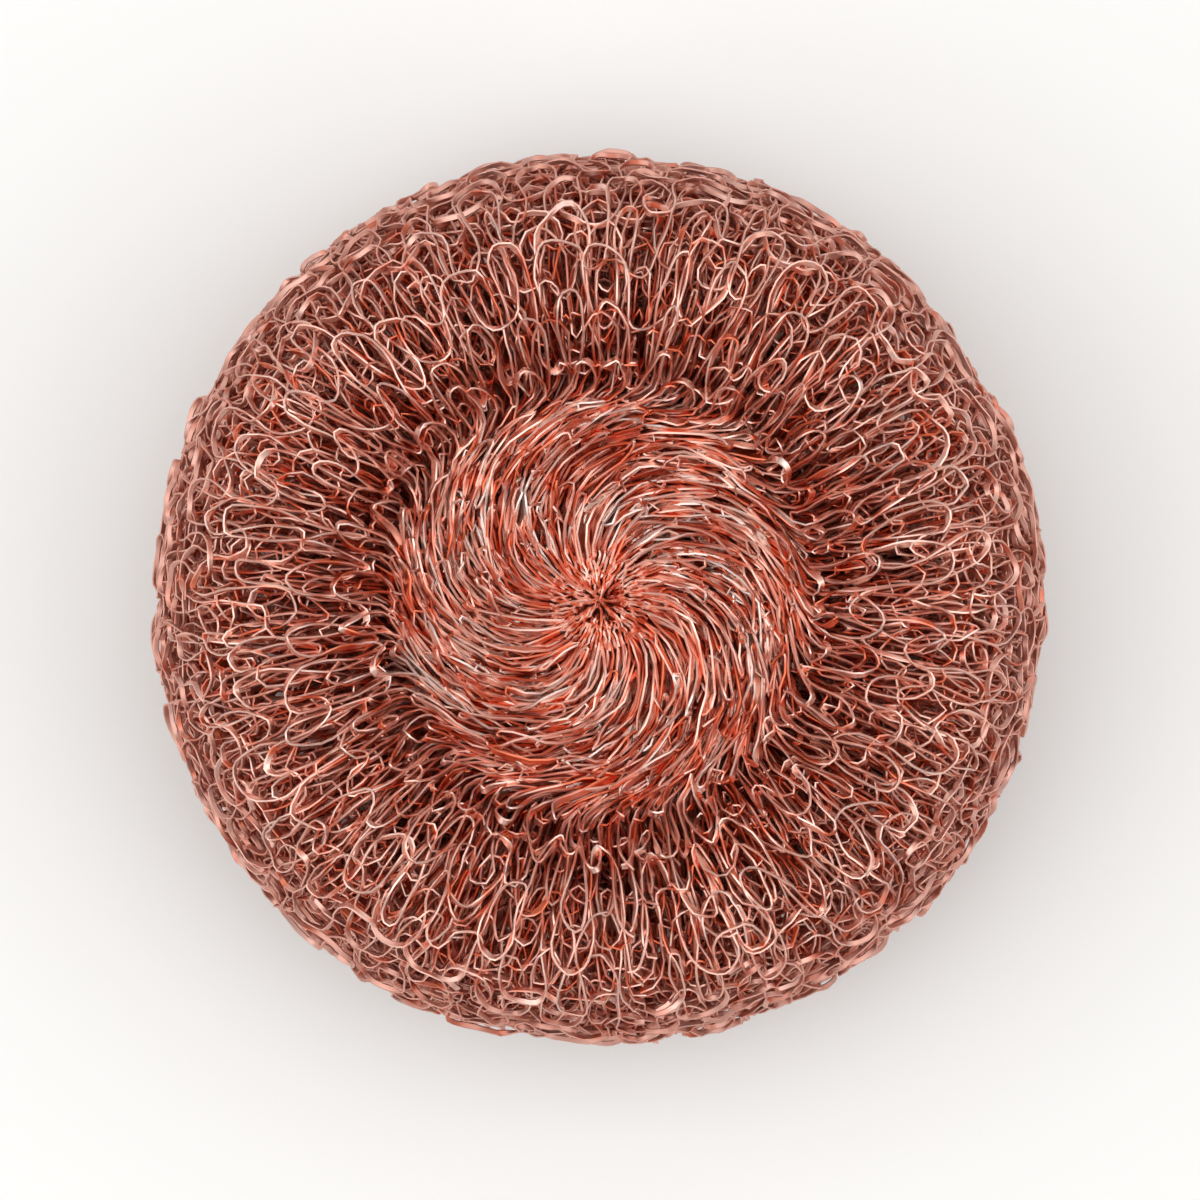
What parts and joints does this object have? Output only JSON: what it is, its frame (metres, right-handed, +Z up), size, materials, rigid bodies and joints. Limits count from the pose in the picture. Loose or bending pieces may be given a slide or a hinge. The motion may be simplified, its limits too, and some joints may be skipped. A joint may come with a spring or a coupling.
{
  "type": "pot scrubber",
  "caption": "Round knitted copper-coated wire scrubber: a mesh sleeve turned back over itself in plies and twisted shut in a recessed swirl, for scouring pots and pans.",
  "frame": {"origin": "centre of the underside, on the surface that the scrubber lies on", "axes": "+Z up out of the swirl, along the twisted neck; +X and +Y lie in the resting plane"},
  "size_m": [0.072, 0.072, 0.032],
  "materials": {
    "copper_wire": "bright drawn and flattened copper-coated wire, satin"
  },
  "bodies": {
    "root": {"outer_ply": "copper_wire", "second_ply": "copper_wire", "third_ply": "copper_wire", "tucked_end": "copper_wire", "twisted_neck": "copper_wire"}
  },
  "joints": []
}
